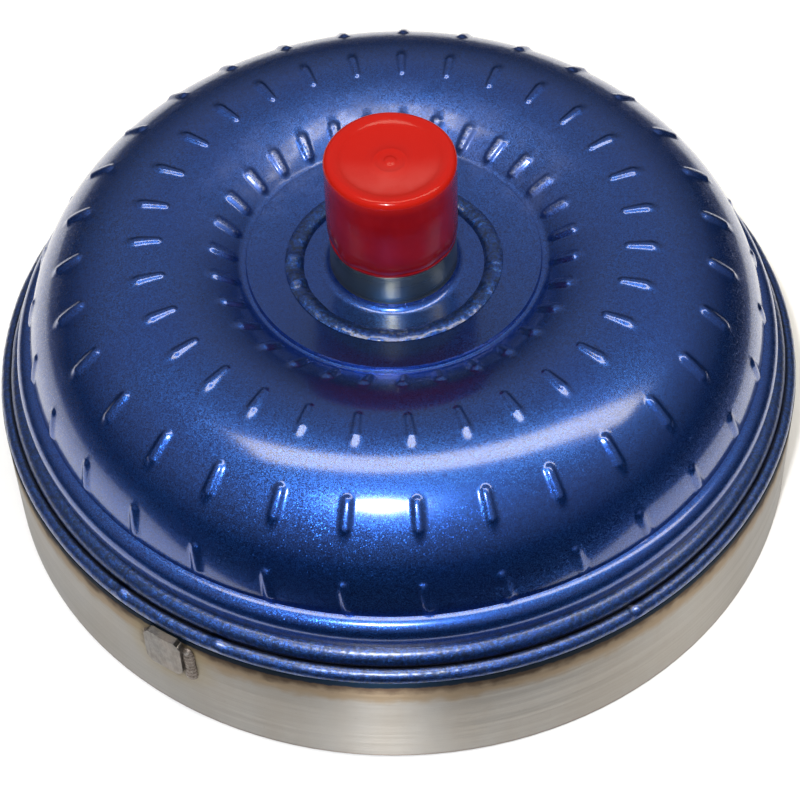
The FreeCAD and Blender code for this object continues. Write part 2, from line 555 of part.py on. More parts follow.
def snap_ring_z():
    """Lower faces of the two snap rings, just outside the end caps."""
    return (STATOR_Z0 + 0.4, STATOR_Z1 - 0.4 - SNAP_RING_THICK)


def snap_ring(z):
    """Split ring that holds an end cap in the stator."""
    body = ring(OUTER_RACE_R - 3.0, OUTER_RACE_R + 1.15, z + 0.05, z + SNAP_RING_THICK - 0.05)
    return body.cut(Part.makeBox(10, 6, SNAP_RING_THICK, V(OUTER_RACE_R - 5, -3, z)))


def end_cap(z0, z1, face_z):
    """Cap that centres the stator on the inner race; its raised face carries a bearing."""
    low, high = min(z0, face_z), max(z1, face_z)
    bore_r, step_r = INNER_JOURNAL_R + RUNNING_GAP, OUTER_RACE_R - 4.0
    return ring(bore_r, OUTER_RACE_R - 0.02, z0, z1).fuse(ring(bore_r, step_r, low, high))


def front_end_cap():
    return end_cap(STATOR_Z0 + 0.4 + SNAP_RING_THICK, CLUTCH_Z0 - 0.05, STATOR_Z0)


def rear_end_cap():
    return end_cap(CLUTCH_Z1 + 0.05, STATOR_Z1 - 0.4 - SNAP_RING_THICK, STATOR_Z1)


def outer_race():
    """Cam ring with ramped pockets, pressed into the stator."""
    height = CLUTCH_Z1 - CLUTCH_Z0
    body = ring(OUTER_RACE_IN, OUTER_RACE_R, CLUTCH_Z0, CLUTCH_Z1)
    pocket = Part.makeCylinder(ROLLER_R + 0.1, height, on_circle(ROLLER_CIRCLE_R, 0, CLUTCH_Z0))
    deeper = Part.makeCylinder(ROLLER_R + 0.5, height, on_circle(ROLLER_CIRCLE_R, 5, CLUTCH_Z0))
    spring_room = sector(OUTER_RACE_IN - 1, ROLLER_CIRCLE_R + 3.4, 4.5, CLUTCH_Z0, CLUTCH_Z1)
    return body.cut(around(pocket.fuse([deeper, turned(spring_room, 11.0)]), ROLLERS))


def clutch_rollers():
    """Hardened rollers that wedge between the cam ring and the inner race."""
    length = CLUTCH_Z1 - CLUTCH_Z0 - 0.6
    return around(Part.makeCylinder(ROLLER_R, length, V(ROLLER_CIRCLE_R, 0, CLUTCH_Z0 + 0.3)), ROLLERS)


def clutch_springs():
    """Folded strip springs, one beside each roller."""
    sheet, folds, inner, outer, step_deg = V(0, 0.35, 0), 5, 30.6, 35.6, 1.25
    z0, height = CLUTCH_Z0 + 4, CLUTCH_Z1 - CLUTCH_Z0 - 8
    turns = [step_deg * (i - folds / 2) for i in range(folds + 1)]
    ends = [on_circle(outer if i % 2 else inner, turn, z0) for i, turn in enumerate(turns)]
    leaves = []
    for a, b in zip(ends, ends[1:]):
        leaf = Part.Face(Part.makePolygon([a, b, b + sheet, a + sheet, a]))
        leaves.append(leaf.extrude(V(0, 0, height)))
    return around(leaves[0].fuse(leaves[1:]), ROLLERS, 11.0)


def inner_race():
    """Splined sleeve on the transmission's fixed stator shaft, with a journal at each end."""
    body = ring(S_SPLINE_R, INNER_JOURNAL_R, STATOR_Z0 + 0.5, STATOR_Z1 - 0.5)
    track = ring(S_SPLINE_R, INNER_RACE_R, CLUTCH_Z0 + 0.25, CLUTCH_Z1 - 0.25)
    grooves = spline_cutter(S_SPLINE_R, S_SPLINE_TEETH, STATOR_Z0, STATOR_Z1)
    return body.fuse(track).cut(grooves)


# ---- thrust bearings ----

def bearing_race(r_in, r_out, z0):
    return ring(r_in, r_out, z0, z0 + RACE_THICK)


def needle(r_in, r_out, z, grow=0.0):
    """Needle roller that lies along the radius; grow gives its cage pocket."""
    end = 0.8 - grow
    return Part.makeCylinder(NEEDLE_R + grow, r_out - r_in - 2 * end, V(r_in + end, 0, z), V(1, 0, 0))


def bearing_needles(r_in, r_out, z):
    return around(needle(r_in, r_out, z), NEEDLES)


def bearing_cage(r_in, r_out, z):
    """Flat cage with a pocket for each needle."""
    half = 0.55
    return ring(r_in, r_out, z - half, z + half).cut(around(needle(r_in, r_out, z, RUNNING_GAP), NEEDLES))


def bearing(name, r_in, r_out, z0):
    """The four nodes of one thrust bearing that starts at z0."""
    middle = z0 + RACE_THICK + BEARING_GAP + NEEDLE_R + 0.02
    far = z0 + RACE_THICK + 2 * (BEARING_GAP + NEEDLE_R + 0.02)
    return {
        name + "_bearing_front_race": bearing_race(r_in, r_out, z0),
        name + "_bearing_cage": bearing_cage(r_in + 0.6, r_out - 0.6, middle),
        name + "_bearing_needles": bearing_needles(r_in + 0.6, r_out - 0.6, middle),
        name + "_bearing_rear_race": bearing_race(r_in, r_out, far)}


def nodes():
    """Every node's shape or list of shapes, by name."""
    makers = (front_cover, pilot, impeller_shell, impeller_vanes, impeller_core_ring, closing_weld_upper,
              closing_weld_lower, pump_hub, hub_weld, balance_weight, weight_welds, shipping_cap, turbine_shell,
              turbine_vanes, turbine_core_ring, turbine_hub, turbine_rivets, piston_seal, clutch_piston,
              friction_lining, damper_front_plate, damper_rear_plate, damper_stop_pins, driven_plate,
              damper_springs, stator_wheel, front_end_cap, rear_end_cap, outer_race, clutch_rollers,
              clutch_springs, inner_race)
    made = {maker.__name__: maker() for maker in makers}
    for name, z in zip(("front_snap_ring", "rear_snap_ring"), snap_ring_z()):
        made[name] = snap_ring(z)
    made.update(bearing("front", 25.0, 39.0, COVER_FLOOR_Z))
    made.update(bearing("middle", 25.0, 30.8, T_HUB_TOP_Z))
    made.update(bearing("rear", 25.0, 35.5, STATOR_Z1))
    return made


os.makedirs("parts", exist_ok=True)
for node, shape in nodes().items():
    solids = [solid for piece in (shape if isinstance(shape, list) else [shape]) for solid in piece.Solids]
    result = solids[0] if len(solids) == 1 else Part.makeCompound(solids)
    print(node, "solids", len(solids), "valid", result.isValid(), "volume", round(result.Volume))
    result.exportStep("parts/" + node + ".step")
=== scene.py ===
"""Looks for the torque converter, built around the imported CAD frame.

Metres, +Z up. The cover's mounting face stands on the floor, and the pump hub with its red cap points up.
Lengths below are in millimetres until a mesh is made, and angles are in degrees about +Z.
"""

import math
from collections import namedtuple

import bmesh
import bpy
import numpy as np
from mathutils import Matrix, Vector


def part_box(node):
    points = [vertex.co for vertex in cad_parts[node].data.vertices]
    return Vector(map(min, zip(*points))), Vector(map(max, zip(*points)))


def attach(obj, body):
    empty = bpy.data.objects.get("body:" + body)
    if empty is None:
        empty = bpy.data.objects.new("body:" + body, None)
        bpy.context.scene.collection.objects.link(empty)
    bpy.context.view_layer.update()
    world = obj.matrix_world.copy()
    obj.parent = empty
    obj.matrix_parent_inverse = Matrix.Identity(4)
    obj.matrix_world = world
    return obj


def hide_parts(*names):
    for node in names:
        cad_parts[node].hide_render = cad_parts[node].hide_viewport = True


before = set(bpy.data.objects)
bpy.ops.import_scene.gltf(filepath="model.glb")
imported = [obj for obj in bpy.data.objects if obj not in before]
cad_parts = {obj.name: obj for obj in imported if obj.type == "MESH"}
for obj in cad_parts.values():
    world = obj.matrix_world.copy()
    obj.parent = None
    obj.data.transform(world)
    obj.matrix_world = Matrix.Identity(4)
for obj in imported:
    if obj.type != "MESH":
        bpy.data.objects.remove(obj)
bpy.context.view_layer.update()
MM = 0.001


def extent(node):
    """(outer radius, lowest z, highest z) of a CAD node, in millimetres."""
    low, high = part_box(node)
    return high.x / MM, low.z / MM, high.z / MM


COVER_R, _, RIM_Z = extent("front_cover")
LIP_R, LIP_Z, _ = extent("impeller_shell")
FLANGE_R, _, _ = extent("pump_hub")
CAP_R, CAP_FOOT_Z, CAP_TOP_Z = extent("shipping_cap")

# The impeller shell's torus, and the shape of its edges
TORUS_R, TORUS_Z, SHELL_R = 91.5, 65.5, 50.2
SHELL_THICK = 4.4
CREASE_DEG, HUB_SIDE_DEG = 6.03, 130.6
ROLL_R, ROLL_Z, ROLL_RADIUS = 140.8, 64.5, 6.3
NECK_R, NECK_Z, LIP_TOP_Z = 146.2, 58.8, 52.2
HOLE_R, LAND_Z, LAND_EDGE_R, LAND_EDGE_Z = 36.7, 100.9, 55.4, 104.4

# The pump hub's flange, journal and fillet, and how far up the paint goes
FLANGE_TOP_Z = 100.4
HUB_R, HUB_FILLET, HUB_PAINT_Z = 23.76, 3.84, 103.2

# Rows of vane tab ribs: angle round the torus, length, turn, sideways slant, half width, height, taper.
# VANES is the count in a row, and STRIP_DEG the turn at which the mesh is finest in each of its repeats.
Rib = namedtuple("Rib", "angle length turn slant half height taper")
RIBS = (Rib(15.2, 14.0, 5.64, 0.8, 2.1, 0.85, 0.0), Rib(51.3, 14.2, 5.16, 0.0, 2.3, 1.0, 0.0),
        Rib(89.7, 13.2, 4.93, 0.3, 2.3, 1.1, 0.35), Rib(122.9, 12.4, 4.45, -0.8, 2.5, 1.2, 0.1))
VANES, STRIP_DEG = 31, 5.05

# On the cover's side: the balance weight, the paint's lower edge and the start of the heat tint
WEIGHT_TURN, WEIGHT_Z, WEIGHT_THICK = (232.6, 238.5), (28.2, 47.8), 3.0
MASK_Z, TINT_Z = 46.6, 37.0

# Where the two closing beads meet, as (r, z)
BEAD_JOINT = (LIP_R + 0.8, 53.15)


# ---- outlines and meshes ----

def arc(start, middle, end, steps=8):
    """Points along the circle through three (r, z) points, without the first."""
    (ax, ay), (bx, by), (cx, cy) = start, middle, end
    d = 2 * (ax * (by - cy) + bx * (cy - ay) + cx * (ay - by))
    a2, b2, c2 = ax * ax + ay * ay, bx * bx + by * by, cx * cx + cy * cy
    centre = ((a2 * (by - cy) + b2 * (cy - ay) + c2 * (ay - by)) / d,
              (a2 * (cx - bx) + b2 * (ax - cx) + c2 * (bx - ax)) / d)
    radius = math.dist(centre, start)
    turns = [math.atan2(y - centre[1], x - centre[0]) for x, y in (start, middle, end)]
    sweep, to_middle = (turns[2] - turns[0]) % math.tau, (turns[1] - turns[0]) % math.tau
    if to_middle > sweep:
        sweep -= math.tau
    return [(centre[0] + radius * math.cos(turns[0] + sweep * i / steps),
             centre[1] + radius * math.sin(turns[0] + sweep * i / steps)) for i in range(1, steps + 1)]


def even_turns(count):
    return np.arange(count) * math.tau / count


def link(name, mesh, smooth_deg=None):
    """Object for a mesh, smooth shaded, with edges sharper than smooth_deg kept."""
    piece = bpy.data.objects.new(name, mesh)
    bpy.context.scene.collection.objects.link(piece)
    mesh.polygons.foreach_set("use_smooth", [True] * len(mesh.polygons))
    if smooth_deg:
        mesh.set_sharp_from_angle(angle=math.radians(smooth_deg))
    return piece


def grid_mesh(name, points, wrap_rows=True):
    """Mesh from a grid of points that wraps in its first direction, and in its second unless the ends close."""
    turns, rows = points.shape[:2]
    index = np.arange(turns * rows).reshape(turns, rows)
    ahead = np.roll(index, -1, axis=0)
    last = rows if wrap_rows else rows - 1
    columns = np.arange(last)
    after = (columns + 1) % rows
    quads = np.stack([index[:, columns], ahead[:, columns], ahead[:, after], index[:, after]], axis=-1).reshape(-1, 4)
    a, b, c, d = (points.reshape(-1, 3)[quads[:, i]] for i in range(4))
    volume = np.einsum("ij,ij->i", a, np.cross(b, c)).sum() + np.einsum("ij,ij->i", a, np.cross(c, d)).sum()
    if volume < 0:
        quads = quads[:, ::-1]
    mesh = bpy.data.meshes.new(name)
    mesh.from_pydata((points.reshape(-1, 3) * MM).tolist(), [], quads.tolist())
    shape = bmesh.new()
    shape.from_mesh(mesh)
    bmesh.ops.remove_doubles(shape, verts=shape.verts, dist=1e-7)
    shape.to_mesh(mesh)
    shape.free()
    mesh.validate()
    return mesh


def lathe(name, section, turns, push=None, smooth_deg=None):
    """Closed section of (r, z) points turned about the axis. push(turn, row) is a shift along its normals."""
    section = np.array(section)
    grid = np.repeat(section[None], len(turns), axis=0)
    if push is not None:
        along = np.roll(section, -1, axis=0) - np.roll(section, 1, axis=0)
        normal = np.stack([along[:, 1], -along[:, 0]], axis=1) / np.linalg.norm(along, axis=1)[:, None]
        area = np.sum(section[:, 0] * np.roll(section[:, 1], -1) - np.roll(section[:, 0], -1) * section[:, 1])
        shift = push(turns[:, None], np.arange(len(section))[None, :])
        grid = grid + normal[None] * shift[..., None] * math.copysign(1, area)
    radius = np.maximum(grid[..., 0], 0)
    points = np.stack([radius * np.cos(turns)[:, None], radius * np.sin(turns)[:, None], grid[..., 1]], axis=-1)
    return link(name, grid_mesh(name, points), smooth_deg)


def waves(turn, seed, low, high, count=14):
    """Smooth seeded noise round the axis, about 1 high, made of whole waves."""
    rng = np.random.default_rng(seed)
    numbers, phases = rng.integers(low, high, count), rng.uniform(0, math.tau, count)
    return sum(np.sin(n * turn + p) for n, p in zip(numbers, phases)) / math.sqrt(count)


def lump(turn, centre_deg, width_deg):
    """1 at an angle about the axis, falling to 0 away from it."""
    away = (np.degrees(turn) - centre_deg + 180) % 360 - 180
    return np.exp(-(away / width_deg) ** 2)


def smooth_step(value, low, high):
    share = np.clip((value - low) / (high - low), 0, 1)
    return share * share * (3 - 2 * share)


# ---- impeller shell ----

def rib_height(rib, angle, turn):
    """Height of one row's ribs over the shell, at angles round the torus and about the axis."""
    radius = TORUS_R + SHELL_R * math.cos(math.radians(rib.angle))
    pitch = math.tau / VANES
    across = ((turn - math.radians(rib.turn) + pitch / 2) % pitch - pitch / 2) * radius
    along = np.radians(angle - rib.angle) * SHELL_R
    straight = rib.length / 2 - rib.half
    slant = math.atan2(math.radians(rib.slant) * radius, 2 * straight)
    s = along * math.cos(slant) - across * math.sin(slant)
    w = across * math.cos(slant) + along * math.sin(slant)
    half = rib.half * (1 - rib.taper * 0.5 * (1 + np.clip(2 * s / rib.length, -1, 1)))
    away = np.hypot(np.maximum(np.abs(s) - straight, 0), w) / half
    foot, flank = 1.25, 1.05
    return rib.height * smooth_step(foot - away, 0, flank) * (half / rib.half)


def shell_angles():
    """Angles up the torus from the rim's crease to the hub side, closer together at the ribs' ends."""
    rib_end_step, rib_step, open_step = 0.62, 1.9, 2.6
    angles, here = [], CREASE_DEG + 0.4
    while here < HUB_SIDE_DEG - 0.8:
        angles.append(here)
        inside = [rib.length / 2 - abs(math.radians(here - rib.angle)) * SHELL_R for rib in RIBS]
        nearest = max(inside)
        step = rib_end_step if -0.4 < nearest < 2.7 else (rib_step if nearest > 0 else open_step)
        here += math.degrees(step / SHELL_R)
    return angles + [HUB_SIDE_DEG]


def shell_turns(count=28):
    """Turns about the axis, closest together along the ribs."""
    share = np.arange(count) / count * 2 - 1
    pitch = 360 / VANES
    local = STRIP_DEG + pitch / 2 * np.sign(share) * np.abs(share) ** 1.6
    return np.radians(np.concatenate([local + pitch * i for i in range(VANES)]))


def torus_point(radius, degrees):
    turn = math.radians(degrees)
    return (TORUS_R + radius * math.cos(turn), TORUS_Z + radius * math.sin(turn))


def make_shell():
    """Impeller shell: pressed torus with ribs, rolled rim, neck, lip and machined land round the hub."""
    crease = torus_point(SHELL_R, CREASE_DEG)
    roll_turn = math.radians(35)
    roll_middle = (ROLL_R + ROLL_RADIUS * math.cos(roll_turn), ROLL_Z + ROLL_RADIUS * math.sin(roll_turn))
    roll_end = (ROLL_R + ROLL_RADIUS, ROLL_Z)
    rim = ([(LIP_R - 3, LIP_Z + 0.1), (LIP_R, LIP_Z + 0.1), (LIP_R, LIP_TOP_Z), (NECK_R, NECK_Z - 1.6),
            (NECK_R, NECK_Z)] + arc((NECK_R, NECK_Z), (NECK_R + 0.55, 61.5), roll_end, 4)
           + arc(roll_end, roll_middle, crease, 9))
    angles = shell_angles()
    torus = [torus_point(SHELL_R, a) for a in angles]
    land = [(57.6, 102.75), (56.6, 102.6), (55.9, 102.8), (55.55, 104.1), (LAND_EDGE_R, LAND_EDGE_Z),
            (54.6, 104.27), (53.5, 104.05), (48.0, 103.0), (42.0, 101.9), (HOLE_R + 0.2, LAND_Z),
            (HOLE_R, LAND_Z - 0.2), (HOLE_R, LAND_Z - 4.4), (52.6, 98.6)]
    inside = [torus_point(SHELL_R - SHELL_THICK, a) for a in np.linspace(131, 4, 12)] + [(NECK_R - 4.2, NECK_Z + 4)]
    section = np.array(rim + torus + land + inside)
    turns = shell_turns()
    turn = turns[:, None]
    first, last = len(rim), len(rim) + len(torus)
    angle = np.array(angles)[None]
    height = sum(rib_height(rib, angle, turn) for rib in RIBS)
    wander = 0.05 * waves(turn, 3, 2, 9) * np.sin(np.radians(angle)) ** 2
    grid = np.repeat(section[None], len(turns), axis=0)
    grid[:, first:last, 0] += (height + wander) * np.cos(np.radians(angle))
    grid[:, first:last, 1] += (height + wander) * np.sin(np.radians(angle))
    radius = grid[..., 0]
    points = np.stack([radius * np.cos(turn), radius * np.sin(turn), grid[..., 1]], axis=-1)
    mesh = grid_mesh("impeller_shell_skin", points)
    crest = np.zeros(grid.shape[:2], np.float32)
    crest[:, first:last] = height / max(rib.height for rib in RIBS)
    attribute = mesh.attributes.new("rib", "FLOAT", "POINT")
    attribute.data.foreach_set("value", crest.ravel())
    return link(mesh.name, mesh, smooth_deg=50)


# ---- welds ----

def bead_push(rows, seed, pitch, depth, uneven, extra=None):
    """Push for a weld bead's outer rows: curved ripples of a pitch and depth, stacked on an uneven crest."""
    def push(turn, row):
        across = row / rows * 2 - 1
        count = round(math.tau * COVER_R / pitch)
        phase = count * turn / 2 - 1.1 * across ** 2 + 1.3 * waves(turn, seed, 20, 90)
        ripple = np.sqrt(np.abs(np.cos(phase))) - 0.6
        crest = waves(turn, seed + 1, 8, 60) * 0.7 + waves(turn + 0.13 * across, seed + 2, 90, 300) * 0.5
        shift = depth * ripple + uneven * crest
        if extra is not None:
            shift = shift + extra(turn)
        return np.where(np.abs(across) < 1, shift * (1 - across ** 4), 0)
    return push


def make_closing_welds():
    """The two beads that join the shell's lip to the cover. The lower one stays within the cover's radius."""
    joint_r, joint_z = BEAD_JOINT
    rows, turns = 9, even_turns(2200)
    neck = (NECK_R, NECK_Z - 0.1)
    upper_outer = [neck] + arc(neck, (149.75, 57.05), (joint_r, joint_z + 0.15), rows)
    upper = lathe("closing_weld_upper_bead", upper_outer + [(LIP_R - 0.5, LIP_TOP_Z), (NECK_R - 0.7, NECK_Z - 1.4)],
                  turns, bead_push(rows, 11, 2.2, 0.035, 0.07), smooth_deg=60)
    groove = (joint_r, joint_z - 0.15)
    lower_outer = [groove] + arc(groove, (154.2, 52.2), (COVER_R - 0.25, RIM_Z + 0.15), rows)

    def stops(turn):
        """Lumps and a dip where the pass was started and stopped."""
        ends = 0.9 * lump(turn, 227.5, 0.8) + 0.8 * lump(turn, 243.4, 0.9) - 0.5 * lump(turn, 301.8, 0.5)
        return ends + 0.35 * lump(turn, 303.0, 0.8)

    lower = lathe("closing_weld_lower_bead", lower_outer + [(COVER_R - 1, RIM_Z - 0.05), (LIP_R + 0.1, RIM_Z - 0.05)],
                  turns, bead_push(rows, 23, 2.4, 0.035, 0.09, stops), smooth_deg=60)
    mesh = lower.data
    places = np.zeros(len(mesh.vertices) * 3, np.float32)
    mesh.vertices.foreach_get("co", places)
    places = places.reshape(-1, 3)
    reach = np.hypot(places[:, 0], places[:, 1])
    shrink = np.minimum(1, (COVER_R - 0.02) * MM / reach)
    places[:, :2] *= shrink[:, None]
    mesh.vertices.foreach_set("co", places.ravel())
    return upper, lower


def make_hub_weld():
    """Lumpy fillet bead between the hub's flange and the land."""
    wall_top, rows = (34.7, 101.7), 12
    outer = [(34.0, FLANGE_TOP_Z + 0.05), (34.3, 101.0), wall_top]
    outer += arc(wall_top, (37.4, 102.75), (41.0, 101.9), rows - 2)

    def push(turn, row):
        across = row / rows * 2 - 1
        shift = 0.24 * waves(turn + 0.03 * across, 43, 5, 26) + 0.05 * waves(turn, 44, 30, 90)
        shift = shift + 0.55 * lump(turn, 196, 3.5) + 0.4 * lump(turn, 176, 3) - 0.35 * lump(turn, 186, 3)
        return np.where(np.abs(across) < 1, shift * (1 - across ** 6), 0)

    return lathe("hub_weld_bead", outer + [(40.4, 101.3), (HOLE_R, FLANGE_TOP_Z - 0.3), (34.4, FLANGE_TOP_Z - 0.3)],
                 even_turns(900), push, smooth_deg=60)


def make_hub_paint():
    """Paint film over the hub's flange and fillet, up to an uneven masked edge on the journal."""
    centre_r, centre_z, fillet = HUB_R + HUB_FILLET, FLANGE_TOP_Z + HUB_FILLET, HUB_FILLET
    edge = math.asin((centre_z - HUB_PAINT_Z) / fillet)
    proud, sunk, steps = 0.06, 0.15, 10

    def film(depth, low, high):
        turns = [low + (high - low) * i / steps for i in range(steps + 1)]
        return [(centre_r - (fillet + depth) * math.cos(t), centre_z - (fillet + depth) * math.sin(t)) for t in turns]

    top = [(FLANGE_R - 1.6, FLANGE_TOP_Z + proud), (FLANGE_R - 4.5, FLANGE_TOP_Z + proud)]
    section = (top + film(-proud, math.pi / 2, edge) + film(sunk, edge, math.pi / 2)
               + [(FLANGE_R - 1.6, FLANGE_TOP_Z - sunk)])
    last = len(top) + steps

    def push(turn, row):
        return -0.03 * (1 + waves(turn, 71, 4, 30)) * (row == last)

    return lathe("pump_hub_paint", section, even_turns(180), push, smooth_deg=60)


def make_weight():
    """Balance plate: a steel coupon with a softened outline, curved to the cover."""
    shape = bmesh.new()
    bmesh.ops.create_cube(shape, size=1)
    bmesh.ops.bevel(shape, geom=shape.edges[:], offset=0.035, segments=2, profile=0.6, affect="EDGES")
    for _ in range(3):
        long_edges = [e for e in shape.edges if e.calc_length() > 0.1]
        bmesh.ops.subdivide_edges(shape, edges=long_edges, cuts=1, use_grid_fill=True)
    middle, half = sum(WEIGHT_TURN) / 2, (WEIGHT_TURN[1] - WEIGHT_TURN[0]) / 2
    for vert in shape.verts:
        u, v, w = vert.co * 2
        corner = 0.9 * max(0, abs(u) - 0.8) * max(0, abs(v) - 0.8) * 5
        turn = math.radians(middle + half * u * (1 - corner))
        radius = COVER_R + WEIGHT_THICK * (0.5 + 0.5 * w) + 0.05 * math.sin(3 * u + 2 * v) * (w > 0) - 0.05
        z = sum(WEIGHT_Z) / 2 + (WEIGHT_Z[1] - WEIGHT_Z[0]) / 2 * v * (1 - corner)
        vert.co = Vector((radius * math.cos(turn), radius * math.sin(turn), z)) * MM
    bmesh.ops.recalc_face_normals(shape, faces=shape.faces)
    mesh = bpy.data.meshes.new("balance_weight_plate")
    shape.to_mesh(mesh)
    shape.free()
    return link(mesh.name, mesh, smooth_deg=40)


def weld_run(name, start, end, radius, seed, pitch=2.0):
    """Rippled bead along the cover's side, from one (turn, z) place to another."""
    steps, sides, sunk = 60, 20, 0.25
    share = np.linspace(0, 1, steps)
    turns = np.radians(start[0] + (end[0] - start[0]) * share)
    heights = start[1] + (end[1] - start[1]) * share
    length = math.hypot(heights[-1] - heights[0], (turns[-1] - turns[0]) * COVER_R)
    rng = np.random.default_rng(seed)
    close = np.sqrt(np.clip(1 - (2 * share - 1) ** 8, 0, 1))
    size = radius * close * (1 + 0.14 * (np.abs(np.sin(math.pi * length * share / pitch)) - 0.5)
                             + 0.07 * np.interp(share, np.linspace(0, 1, 9), rng.uniform(-1, 1, 9)))
    way = np.array([(turns[-1] - turns[0]) * COVER_R, heights[-1] - heights[0]]) / length
    across = np.linspace(0, math.tau, sides, endpoint=False)
    side, rise = np.cos(across), np.maximum(np.sin(across), -0.25)
    out = COVER_R - sunk + size[None] * rise[:, None] * 0.95
    turn = turns[None] - way[1] * size[None] * side[:, None] / COVER_R
    z = heights[None] + way[0] * size[None] * side[:, None]
    points = np.stack([out * np.cos(turn), out * np.sin(turn), z], axis=-1)
    points[:, 0] = points[:, 0].mean(0)
    points[:, -1] = points[:, -1].mean(0)
    return link(name, grid_mesh(name, points, wrap_rows=False))


def make_weight_welds():
    """Bead down the weight's right side, shorter runs on its left and along its foot."""
    left, right = WEIGHT_TURN
    low, high = WEIGHT_Z
    return (weld_run("weight_weld_right", (right + 0.75, low - 2.6), (right + 0.55, high - 3.4), 2.5, 5),
            weld_run("weight_weld_left", (left - 0.35, low + 3), (left - 0.35, high - 5), 1.5, 6),
            weld_run("weight_weld_foot", (left + 1.0, low - 0.3), (right - 0.9, low - 0.3), 1.2, 7))


# ---- shipping cap ----

def make_cap():
    """Dipped vinyl cap: rolled rim round a shallow dish, with a ring and a nub in it, and a curled, uneven foot."""
    dish_z, bore_r, ceiling_z = CAP_TOP_Z - 2.3, 22.75, 150.3
    wall = [(CAP_R - 1.7, CAP_FOOT_Z - 1.1), (CAP_R - 1.1, CAP_FOOT_Z - 0.95), (CAP_R - 0.55, CAP_FOOT_Z - 0.2),
            (CAP_R - 0.25, CAP_FOOT_Z + 1.3), (CAP_R - 0.1, CAP_FOOT_Z + 3), (CAP_R - 0.05, CAP_FOOT_Z + 9),
            (CAP_R - 0.1, CAP_FOOT_Z + 18), (CAP_R - 0.1, CAP_FOOT_Z + 27), (CAP_R - 0.1, CAP_TOP_Z - 3.4)]
    rim_top = (CAP_R - 2.3, CAP_TOP_Z - 0.05)
    wall += arc(wall[-1], (CAP_R - 0.72, CAP_TOP_Z - 1.0), rim_top, 12)
    dish = arc(rim_top, (CAP_R - 4.4, CAP_TOP_Z - 0.35), (CAP_R - 6.4, CAP_TOP_Z - 1.15), 8)
    dish += arc(dish[-1], (CAP_R - 10.5, dish_z + 0.35), (CAP_R - 15, dish_z), 6)
    ring = [(6.6, dish_z), (6.2, dish_z + 0.22), (5.6, dish_z + 0.22), (5.2, dish_z)]
    nub = [(3.0, dish_z), (2.5, dish_z + 0.05), (2.1, dish_z + 0.35), (1.6, dish_z + 0.62), (0.8, dish_z + 0.76),
           (0, dish_z + 0.8)]
    inside = [(0, ceiling_z), (bore_r - 1, ceiling_z), (bore_r, ceiling_z - 1), (bore_r, CAP_FOOT_Z + 1),
              (HUB_R + 0.1, CAP_FOOT_Z + 0.3), (HUB_R + 0.1, CAP_FOOT_Z - 1.0)]
    section = wall + dish + ring + nub + inside
    outer = len(wall)

    def push(turn, row):
        sag = 0.09 * (waves(turn, 61, 2, 6) - 1) * (row < outer)
        foot = 0.22 * (waves(turn, 62, 3, 12) - 1) * (row < 4)
        top = 0.05 * (waves(turn, 63, 2, 5) - 1) * (row >= outer) * (row < len(wall) + len(dish))
        return sag + foot + top

    return lathe("shipping_cap_dipped", section, even_turns(256), push, smooth_deg=70)


# ---- materials ----

